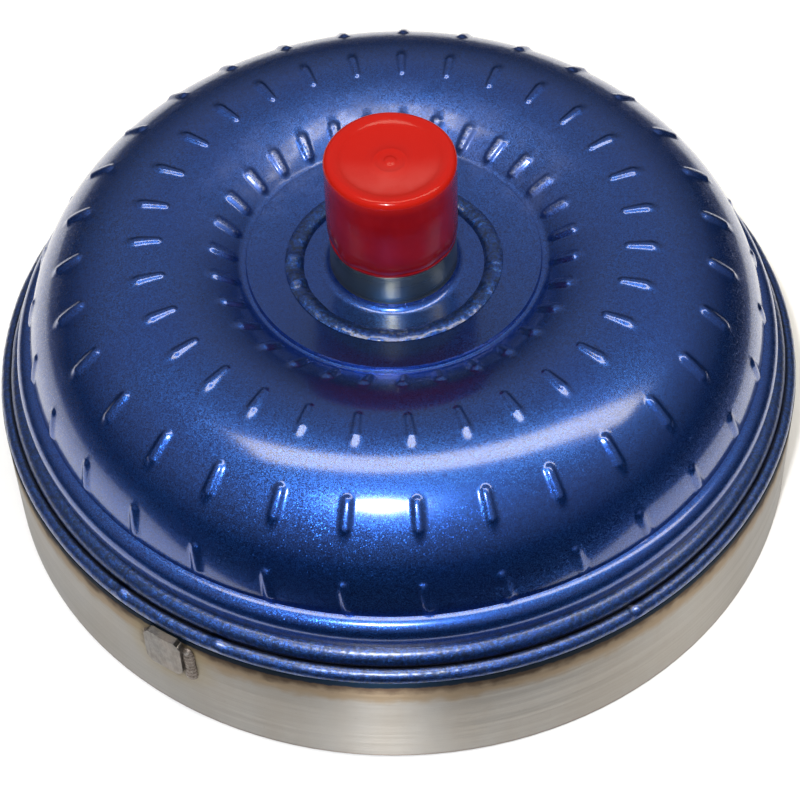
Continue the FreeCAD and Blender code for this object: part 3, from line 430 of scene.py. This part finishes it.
class Looks:
    """Short calls that build one material's nodes. Positions in it are in millimetres."""

    def __init__(self, name, **settings):
        self.material = bpy.data.materials.new(name)
        self.material.use_nodes = True
        self.nodes = self.material.node_tree.nodes
        self.shader = self.nodes["Principled BSDF"]
        self.set(self.shader, settings)
        self.place = self.scale(self.node("ShaderNodeTexCoord").outputs["Object"], 1 / MM)

    def join(self, value, socket):
        if isinstance(value, bpy.types.NodeSocket):
            self.material.node_tree.links.new(value, socket)
        else:
            socket.default_value = value

    def set(self, node, settings):
        for key, value in settings.items():
            self.join(value, node.inputs[key.replace("_", " ")])

    def node(self, kind, **settings):
        made = self.nodes.new(kind)
        for key, value in settings.items():
            setattr(made, key, value)
        return made

    def math(self, operation, *values):
        made = self.node("ShaderNodeMath", operation=operation)
        for i, value in enumerate(values):
            self.join(value, made.inputs[i])
        return made.outputs[0]

    def times(self, first, second):
        return self.math("MULTIPLY", first, second)

    def hypot(self, first, second):
        return self.math("SQRT", self.math("ADD", self.times(first, first), self.times(second, second)))

    def vector(self, operation, *values):
        made = self.node("ShaderNodeVectorMath", operation=operation)
        for i, value in enumerate(values):
            self.join(value, made.inputs[i])
        return made.outputs[0]

    def scale(self, vector, factor):
        made = self.node("ShaderNodeVectorMath", operation="SCALE")
        self.join(vector, made.inputs[0])
        self.join(factor, made.inputs["Scale"])
        return made.outputs[0]

    def stretched(self, x, y, z):
        """The place, stretched on each axis."""
        return self.vector("MULTIPLY", self.place, (x, y, z))

    def noise(self, scale, detail=3.0, roughness=0.5, place=None, distortion=0.0):
        made = self.node("ShaderNodeTexNoise")
        self.set(made, {"Vector": place or self.place, "Scale": scale, "Detail": detail, "Roughness": roughness,
                        "Distortion": distortion})
        return made.outputs["Fac"]

    def range(self, value, low, high, to_low=0.0, to_high=1.0):
        """Smooth step of a value from low..high to to_low..to_high."""
        made = self.node("ShaderNodeMapRange", interpolation_type="SMOOTHSTEP")
        for i, item in enumerate((value, low, high, to_low, to_high)):
            self.join(item, made.inputs[i])
        return made.outputs[0]

    def mix(self, share, first, second):
        """Colour from first to second."""
        made = self.node("ShaderNodeMix", data_type="RGBA")
        for i, value in ((0, share), (6, first), (7, second)):
            self.join(value if isinstance(value, (float, bpy.types.NodeSocket)) else (*value, 1), made.inputs[i])
        return made.outputs[2]

    def axes(self):
        """(x, y, z, radius) in millimetres."""
        parts = self.node("ShaderNodeSeparateXYZ")
        self.join(self.place, parts.inputs[0])
        x, y, z = parts.outputs
        return x, y, z, self.hypot(x, y)

    def bump(self, height, strength, distance_mm, normal=None):
        made = self.node("ShaderNodeBump")
        self.set(made, {"Height": height, "Strength": strength, "Distance": distance_mm * MM})
        if normal is not None:
            self.join(normal, made.inputs["Normal"])
        return made.outputs["Normal"]

    def finish(self, **settings):
        self.set(self.shader, settings)
        return self.material


def toned(colour, factor):
    """A colour times a factor, at most 1 in each channel."""
    return tuple(min(1.0, factor * channel) for channel in colour)


def flakes(looks, cell_mm, spread):
    """(colour factor, normal) of metallic flakes: one random tint and tilt per cell."""
    cells = looks.node("ShaderNodeTexVoronoi", feature="F1")
    looks.set(cells, {"Vector": looks.place, "Scale": 1 / cell_mm, "Randomness": 1.0})
    channels = looks.node("ShaderNodeSeparateColor")
    looks.join(cells.outputs["Color"], channels.inputs[0])
    tint, lean, _ = channels.outputs
    lift = looks.math("ADD", 0.35, looks.math("POWER", lean, 3.0))
    centred = looks.vector("SUBTRACT", cells.outputs["Color"], (0.5, 0.5, 0.5))
    tilt = looks.scale(centred, looks.times(lift, spread))
    surface = looks.node("ShaderNodeNewGeometry").outputs["Normal"]
    return tint, looks.vector("NORMALIZE", looks.vector("ADD", surface, tilt))


def weld_mottle_and_groove_shade(looks, colour, normal):
    """(colour, roughness, normal, coat weight) of paint on a rough weld, with painted shade that makes it black in
    the groove between the beads.
    """
    blotch = looks.range(looks.noise(0.7, 5, 0.6), 0.36, 0.66)
    colour = looks.mix(blotch, colour, (0.004, 0.020, 0.080))
    scale = looks.range(looks.noise(0.9, 3, 0.6, looks.stretched(1, 1, 1.6)), 0.56, 0.72)
    colour = looks.mix(looks.times(scale, 0.45), colour, (0.07, 0.19, 0.36))
    rough = looks.range(looks.noise(1.4, 4), 0.3, 0.7, 0.30, 0.5)
    normal = looks.bump(looks.noise(1.7, 4, 0.65), 0.55, 0.4, normal)
    # Painted shade: near black, with less coat, in the groove where the two beads meet.
    _, _, z, radius = looks.axes()
    away = looks.hypot(looks.math("SUBTRACT", radius, BEAD_JOINT[0]), looks.math("SUBTRACT", z, BEAD_JOINT[1]))
    groove = looks.range(looks.math("ADD", away, looks.noise(0.9, 3)), 2.3, 1.1)
    colour = looks.mix(looks.times(groove, 0.92), colour, (0.004, 0.004, 0.006))
    return colour, rough, normal, looks.range(groove, 0.0, 1.0, 0.9, 0.3)


def shell_dust_and_neck_shade(looks, colour, rough, normal):
    """(colour, roughness, normal, coat weight) of the shell: painted shade in the neck under the rolled rim, and dust
    and rubbed ribs round the hub.
    """
    _, y, z, radius = looks.axes()
    # Painted shade: the neck under the rolled rim is painted dark grey, with less coat.
    neck = looks.times(looks.range(z, 62.3, 60.6), looks.range(radius, ROLL_R, ROLL_R + 2))
    colour = looks.mix(looks.times(neck, 0.75), colour, (0.030, 0.027, 0.028))
    near_hub = looks.times(looks.range(radius, 34.0, 58.0), looks.range(radius, 90.0, 70.0))
    behind = looks.times(near_hub, looks.range(looks.math("DIVIDE", y, radius), -0.1, 0.45))
    dust = looks.times(behind, looks.range(looks.noise(0.07, 5, 0.55), 0.25, 0.75))
    colour = looks.mix(looks.times(dust, 0.45), colour, (0.13, 0.16, 0.28))
    coat = looks.times(looks.range(dust, 0.0, 0.7, 1.0, 0.25), looks.range(neck, 0.0, 1.0, 1.0, 0.4))
    rib = looks.node("ShaderNodeAttribute", attribute_name="rib").outputs["Fac"]
    rubbed = looks.times(looks.range(rib, 0.55, 1.0), behind)
    rubbed = looks.times(rubbed, looks.range(looks.noise(0.9, 5, 0.7), 0.40, 0.6))
    colour = looks.mix(looks.times(rubbed, 0.35), colour, (0.50, 0.52, 0.62))
    speck = looks.times(looks.range(looks.noise(1.1, 3, 0.7), 0.70, 0.74), near_hub)
    colour = looks.mix(looks.times(speck, 0.8), colour, (0.035, 0.022, 0.018))
    rough = looks.math("ADD", rough, looks.times(dust, 0.25))
    turned = looks.noise(2.2, 2, 0.5, looks.stretched(0.02, 0.02, 1.0))
    return colour, rough, looks.bump(turned, 0.03, 0.3, normal), coat


def blue_paint(name, coat_rough=0.15, dusty_with_neck_shade=False, mottled_with_groove_shade=False):
    """Metallic blue lacquer: flakes under a clear coat, with the shell's dust and painted shade in its neck, or a
    weld's mottle and painted shade in its groove, where asked.
    """
    looks = Looks(name, Metallic=0.93, Coat_Roughness=coat_rough, Coat_IOR=1.6, IOR=1.5)
    tint, normal = flakes(looks, 0.30, 0.30)
    broad = looks.noise(0.035, 4, 0.55)
    colour = looks.mix(tint, (0.001, 0.016, 0.11), (0.017, 0.104, 0.46))
    colour = looks.mix(looks.range(broad, 0.3, 0.7, 0.0, 0.35), colour, (0.006, 0.042, 0.27))
    fleck = looks.range(looks.noise(1.9, 2, 0.5), 0.72, 0.8)
    colour = looks.mix(looks.times(fleck, 0.5), colour, (0.16, 0.36, 0.80))
    if mottled_with_groove_shade:
        colour, rough, normal, coat = weld_mottle_and_groove_shade(looks, colour, normal)
    else:
        rough, coat = looks.range(looks.noise(0.5, 3), 0.3, 0.7, 0.31, 0.38), 1.0
    if dusty_with_neck_shade:
        colour, rough, normal, coat = shell_dust_and_neck_shade(looks, colour, rough, normal)
    return looks.finish(Base_Color=colour, Roughness=rough, Normal=normal, Coat_Weight=coat)


def weld_heat_and_rim_shade(looks, shade, z, radius):
    """(colour, brown share) of the cover's side: heat tints, burns round the weight, the blue-painted rim with
    painted shade under the lower bead, and a darker brown foot.
    """
    edge = looks.math("ADD", z, looks.times(looks.noise(0.16, 4), 7.0))
    straw = looks.range(edge, TINT_Z + 1.0, TINT_Z + 7.0)
    shade = looks.mix(looks.times(straw, 0.8), shade, (0.30, 0.215, 0.125))
    brown = looks.range(edge, TINT_Z + 7.5, MASK_Z + 3.0)
    shade = looks.mix(looks.times(brown, 0.9), shade, (0.075, 0.048, 0.035))
    middle = math.radians(sum(WEIGHT_TURN) / 2)
    spot = (COVER_R * math.cos(middle), COVER_R * math.sin(middle), sum(WEIGHT_Z) / 2 - 3)
    away = looks.vector("DISTANCE", looks.place, spot).node.outputs["Value"]
    halo = looks.range(looks.math("ADD", away, looks.times(looks.noise(0.2, 4), 6.0)), 26.0, 14.0)
    shade = looks.mix(looks.times(halo, 0.6), shade, (0.33, 0.27, 0.16))
    burnt = looks.range(looks.math("ADD", away, looks.times(looks.noise(0.35, 4), 5.0)), 17.0, 13.0)
    shade = looks.mix(looks.times(burnt, 0.6), shade, (0.07, 0.055, 0.05))
    # The rim is blue paint in a near-black tone: painted shade under the lower bead.
    ragged = looks.times(looks.noise(0.35, 4, 0.6), 2.0)
    rim = looks.range(looks.math("ADD", z, ragged), MASK_Z + 0.4, MASK_Z + 1.2)
    shade = looks.mix(rim, shade, (0.006, 0.017, 0.035))
    # A darker brown band round the bottom edge of the side.
    foot = looks.times(looks.range(z, 2.2, 0.9), looks.range(radius, COVER_R - 3, COVER_R - 1))
    return looks.mix(looks.times(foot, 0.7), shade, (0.16, 0.10, 0.06)), brown


def turned_steel(name, colour, rough, heat=False, ring_scale=1.6, relief=0.10, grain=1.0):
    """Lathe-turned steel: fine rings round the axis, stains, and where asked the heat tint of the cover's welds, with
    painted shade on the rim below them.
    """
    looks = Looks(name, Metallic=1.0, Anisotropic=grain, Anisotropic_Rotation=0.25, IOR=2.5)
    tangent = looks.node("ShaderNodeTangent", direction_type="RADIAL", axis="Z")
    looks.join(tangent.outputs[0], looks.shader.inputs["Tangent"])
    x, y, z, radius = looks.axes()
    rings = looks.node("ShaderNodeCombineXYZ")
    looks.join(looks.math("DIVIDE", x, radius), rings.inputs[0])
    looks.join(looks.math("DIVIDE", y, radius), rings.inputs[1])
    looks.join(looks.times(looks.math("ADD", z, radius), ring_scale), rings.inputs[2])
    lines = looks.noise(3.0, 5, 0.75, rings.outputs[0])
    coarse = looks.noise(0.55, 3, 0.6, rings.outputs[0])
    shade = looks.mix(looks.range(lines, 0.25, 0.75), toned(colour, 0.86), toned(colour, 1.09))
    stain = looks.range(looks.noise(0.045, 5, 0.6, looks.stretched(1, 1, 0.35)), 0.35, 0.7)
    stained = tuple(channel * factor for channel, factor in zip(colour, (0.86, 0.80, 0.72)))
    shade = looks.mix(looks.times(stain, 0.45), shade, stained)
    fleck = looks.range(looks.noise(0.8, 4, 0.7), 0.64, 0.72)
    shade = looks.mix(looks.times(fleck, 0.35), shade, toned(colour, 0.45))
    roughness = looks.range(coarse, 0.3, 0.7, rough - 0.03, rough + 0.04)
    if heat:
        shade, brown = weld_heat_and_rim_shade(looks, shade, z, radius)
        roughness = looks.math("ADD", roughness, looks.times(brown, 0.12))
    return looks.finish(Base_Color=shade, Roughness=roughness, Normal=looks.bump(lines, relief, 0.12))


def worked_metal(name, colour, rough, grain, depth=0.1, stretch=(1, 1, 1), patch=None):
    """Plain metal with grain, patches of a second tone and a fine bump."""
    looks = Looks(name, Metallic=1.0, IOR=2.2)
    fine = looks.noise(grain, 5, 0.7, looks.stretched(*stretch))
    broad = looks.range(looks.noise(grain * 0.08, 4, 0.6), 0.35, 0.65)
    shade = looks.mix(looks.range(fine, 0.3, 0.7), toned(colour, 0.7), toned(colour, 1.15))
    shade = looks.mix(looks.times(broad, 0.5), shade, patch or toned(colour, 0.75))
    roughness = looks.range(looks.noise(grain * 0.4, 4), 0.3, 0.7, rough - 0.07, rough + 0.1)
    return looks.finish(Base_Color=shade, Roughness=roughness, Normal=looks.bump(fine, 0.35, depth))


def weld_steel(name):
    """Burnt brown weld metal with scale and bright ridges."""
    looks = Looks(name, Metallic=0.75, IOR=2.2)
    fine = looks.noise(1.6, 5, 0.7)
    shade = looks.mix(looks.range(fine, 0.3, 0.7), (0.07, 0.05, 0.04), (0.26, 0.22, 0.19))
    shade = looks.mix(looks.range(looks.noise(0.45, 4, 0.7), 0.55, 0.72), shade, (0.40, 0.38, 0.36))
    rough = looks.range(fine, 0.3, 0.7, 0.34, 0.6)
    return looks.finish(Base_Color=shade, Roughness=rough, Normal=looks.bump(fine, 0.5, 0.35))


def red_vinyl(name):
    """Dipped red vinyl: glossy, slightly deep, faint orange peel and dust, a top painted lighter and a painted
    reflection in the dish.
    """
    looks = Looks(name, Metallic=0.0, IOR=1.42, Specular_IOR_Level=0.24, Subsurface_Weight=0.08,
                  Subsurface_Radius=(0.004, 0.0006, 0.0004), Subsurface_Scale=0.5)
    broad = looks.noise(0.06, 3)
    shade = looks.mix(looks.range(broad, 0.3, 0.7), (0.20, 0.002, 0.003), (0.25, 0.004, 0.004))
    haze = looks.range(looks.noise(0.35, 5, 0.65), 0.52, 0.8)
    shade = looks.mix(looks.times(haze, 0.12), shade, (0.30, 0.02, 0.018))
    _, y, z, radius = looks.axes()
    # Painted light: the top and upper part of the side get a lighter red than the lower side, which keeps the darker,
    # shaded red.
    top = looks.range(z, CAP_TOP_Z - 7.0, CAP_TOP_Z - 2.0)
    shade = looks.mix(looks.times(top, 0.9), shade, (0.39, 0.009, 0.004))
    # Painted reflection: a pale patch on the front half of the dish, where the overhead light would reflect.
    film = looks.times(looks.range(y, 3.0, -13.0), looks.range(radius, 21.5, 15.0))
    film = looks.times(looks.times(film, top), looks.range(looks.noise(0.12, 4), 0.3, 0.7, 0.6, 1.0))
    shade = looks.mix(looks.times(film, 0.5), shade, (0.44, 0.070, 0.058))
    rough = looks.range(looks.noise(0.3, 4), 0.3, 0.7, 0.12, 0.20)
    peel = looks.noise(0.5, 2, 0.4)
    return looks.finish(Base_Color=shade, Roughness=rough, Normal=looks.bump(peel, 0.12, 0.25))


def friction_paper(name):
    """Fibrous tan friction lining, darker where it has run."""
    looks = Looks(name, Metallic=0.0, IOR=1.45)
    fibres = looks.noise(2.6, 6, 0.8, looks.stretched(1, 1, 3), 0.6)
    shade = looks.mix(looks.range(fibres, 0.3, 0.7), (0.10, 0.060, 0.032), (0.30, 0.20, 0.11))
    worn = looks.range(looks.noise(0.1, 3), 0.45, 0.7)
    shade = looks.mix(looks.times(worn, 0.5), shade, (0.05, 0.035, 0.025))
    return looks.finish(Base_Color=shade, Roughness=looks.range(fibres, 0.3, 0.7, 0.7, 0.92),
                        Normal=looks.bump(fibres, 0.6, 0.15))


def seal_ring(name):
    """Dark filled-plastic ring with a faint marble."""
    looks = Looks(name, Metallic=0.0, IOR=1.5)
    marble = looks.noise(0.9, 6, 0.7, distortion=1.2)
    shade = looks.mix(looks.range(marble, 0.35, 0.65), (0.018, 0.016, 0.015), (0.06, 0.045, 0.035))
    return looks.finish(Base_Color=shade, Roughness=looks.range(marble, 0.3, 0.7, 0.38, 0.55),
                        Normal=looks.bump(marble, 0.2, 0.05))


def dress(piece, material):
    """Gives a piece this material and no other."""
    piece.data.materials.clear()
    piece.data.materials.append(material)


def build_pieces():
    """Replaces the visible housing pieces and the cap with detailed ones."""
    shell_paint = blue_paint("blue_lacquer", dusty_with_neck_shade=True)
    weld_paint = blue_paint("blue_lacquer_on_weld", 0.30, mottled_with_groove_shade=True)
    hub_weld_paint = blue_paint("blue_lacquer_on_hub_weld", 0.20, mottled_with_groove_shade=True)
    burnt = weld_steel("burnt_weld")
    plate = worked_metal("weight_plate", (0.20, 0.192, 0.185), 0.44, 0.8, 0.12, (1, 1, 0.3), (0.24, 0.20, 0.17))
    upper, lower = make_closing_welds()
    detailed = [(make_shell(), "impeller_shell", "blue_paint", shell_paint),
                (upper, "closing_weld_upper", "blue_paint", weld_paint),
                (lower, "closing_weld_lower", "blue_paint", weld_paint),
                (make_hub_weld(), "hub_weld", "blue_paint", hub_weld_paint),
                (make_weight(), "balance_weight", "weight_steel", plate)]
    detailed += [(run, "weight_welds", "weight_steel", burnt) for run in make_weight_welds()]
    detailed.append((make_hub_paint(), None, "blue_paint", shell_paint))
    for piece, node, slot, material in detailed:
        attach(piece, "housing")
        if node:
            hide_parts(node)
        dress(piece, material)
    cap = make_cap()
    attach(cap, "cap")
    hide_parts("shipping_cap")
    dress(cap, red_vinyl("dipped_vinyl"))


def dress_nodes():
    """Gives each carried-over CAD node the finish of its material slot."""
    finishes = {
        "cover_steel": turned_steel("turned_cover", (0.385, 0.370, 0.350), 0.36, heat=True, relief=0.008),
        "hub_steel": turned_steel("ground_hub", (0.29, 0.285, 0.19), 0.30, ring_scale=3.0, relief=0.008, grain=0.3),
        "blue_paint": blue_paint("blue_lacquer_plain"),
        "vane_steel": worked_metal("rolled_sheet", (0.42, 0.42, 0.42), 0.40, 0.5, 0.06, (1, 1, 0.25)),
        "machined_steel": turned_steel("machined_steel", (0.52, 0.52, 0.51), 0.42, ring_scale=1.2),
        "spring_steel": worked_metal("spring_steel", (0.16, 0.15, 0.16), 0.34, 0.9, 0.04, patch=(0.10, 0.09, 0.12)),
        "friction_paper": friction_paper("friction_paper"),
        "seal_ring": seal_ring("seal_ring"),
        "cast_aluminium": worked_metal("cast_aluminium", (0.60, 0.61, 0.62), 0.50, 0.7, 0.25),
        "bearing_steel": turned_steel("bearing_steel", (0.60, 0.60, 0.61), 0.34, ring_scale=2.0, relief=0.05)}
    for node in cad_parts.values():
        if node.hide_render:
            continue
        slot = node.material_slots[0].material.name.split(".")[0]
        node.data.materials[0] = finishes[slot]


# ---- floor, light and camera, in metres ----

def make_floor():
    """Wide pale floor with a faint mottle. Gives its material."""
    bpy.ops.mesh.primitive_circle_add(vertices=96, radius=9, fill_type="TRIFAN", location=(0, 0, 0))
    floor = bpy.context.object
    floor.name = "studio_floor"
    looks = Looks("studio_floor", Roughness=0.7, IOR=1.3)
    shade = looks.mix(looks.noise(0.004, 3), (0.88, 0.88, 0.885), (0.92, 0.92, 0.92))
    dress(floor, looks.finish(Base_Color=shade))
    floor.visible_glossy = False
    return floor.data.materials[0]


def make_sheet(material):
    """Sheet of the floor's tone under the object: the only part of the floor that glossy surfaces reflect."""
    low, high, lift = (-0.43, -0.20), (0.31, 0.60), 0.0002
    corners = [(low[0], low[1], lift), (high[0], low[1], lift), (high[0], high[1], lift), (low[0], high[1], lift)]
    mesh = bpy.data.meshes.new("studio_sheet")
    mesh.from_pydata(corners, [], [(0, 1, 2, 3)])
    sheet = link("studio_sheet", mesh)
    dress(sheet, material)
    sheet.visible_camera = sheet.visible_diffuse = sheet.visible_shadow = False


def softbox(name, azimuth, elevation, distance, size, power,
            target=(0, 0, 0.07), shape="ELLIPSE", colour=(1, 1, 1)):
    """Area light that faces the target."""
    turn, rise = math.radians(azimuth), math.radians(elevation)
    way = Vector((math.cos(rise) * math.cos(turn), math.cos(rise) * math.sin(turn), math.sin(rise)))
    light = bpy.data.lights.new(name, "AREA")
    light.shape, light.size, light.size_y = shape, *size
    light.energy, light.color = power, colour
    holder = bpy.data.objects.new(name, light)
    holder.location = Vector(target) + way * distance
    holder.rotation_euler = way.to_track_quat("Z", "Y").to_euler()
    bpy.context.scene.collection.objects.link(holder)


def make_light():
    """A small lamp and a softer one by the camera, a long warm strip overhead, and a room that is dark low down."""
    softbox("lamp", -98, 53.7, 1.15, (0.05, 0.05), 8.0)
    softbox("key", -98, 53.4, 1.15, (0.32, 0.22), 2.4)
    softbox("overhead", -90, 88, 1.45, (2.15, 0.34), 18.5, (0.42, 0, 0.07), "RECTANGLE", (1.0, 0.89, 0.70))
    world = bpy.data.worlds.new("dim_room")
    bpy.context.scene.world = world
    world.use_nodes = True
    nodes, background = world.node_tree.nodes, world.node_tree.nodes["Background"]
    parts, rise = nodes.new("ShaderNodeSeparateXYZ"), nodes.new("ShaderNodeMapRange")
    world.node_tree.links.new(nodes.new("ShaderNodeTexCoord").outputs["Generated"], parts.inputs[0])
    world.node_tree.links.new(parts.outputs["Z"], rise.inputs["Value"])
    for key, value in (("From Min", 0.08), ("From Max", 0.62), ("To Min", 0.02), ("To Max", 0.48)):
        rise.inputs[key].default_value = value
    world.node_tree.links.new(rise.outputs["Result"], background.inputs["Strength"])
    background.inputs["Color"].default_value = (0.80, 0.88, 1.0, 1)
    bpy.context.scene.view_settings.view_transform = "Standard"


def make_camera():
    """Camera in front of and above the object, looking down, with a slight roll."""
    place, lens, sensor = (0.0002, -0.6306, 0.7893), 111.24, 36
    tilt, roll = math.radians(50.74), math.radians(-2.26)
    ahead = Vector((0, math.cos(tilt), -math.sin(tilt)))
    level, over = Vector((1, 0, 0)), Vector((0, math.sin(tilt), math.cos(tilt)))
    right = level * math.cos(roll) + over * math.sin(roll)
    up = over * math.cos(roll) - level * math.sin(roll)
    camera = bpy.data.cameras.new("camera")
    camera.lens, camera.sensor_width = lens, sensor
    holder = bpy.data.objects.new("camera", camera)
    holder.matrix_world = Matrix.Translation(place) @ Matrix((right, up, -ahead)).transposed().to_4x4()
    bpy.context.scene.collection.objects.link(holder)
    bpy.context.scene.camera = holder


build_pieces()
dress_nodes()
make_sheet(make_floor())
make_light()
make_camera()
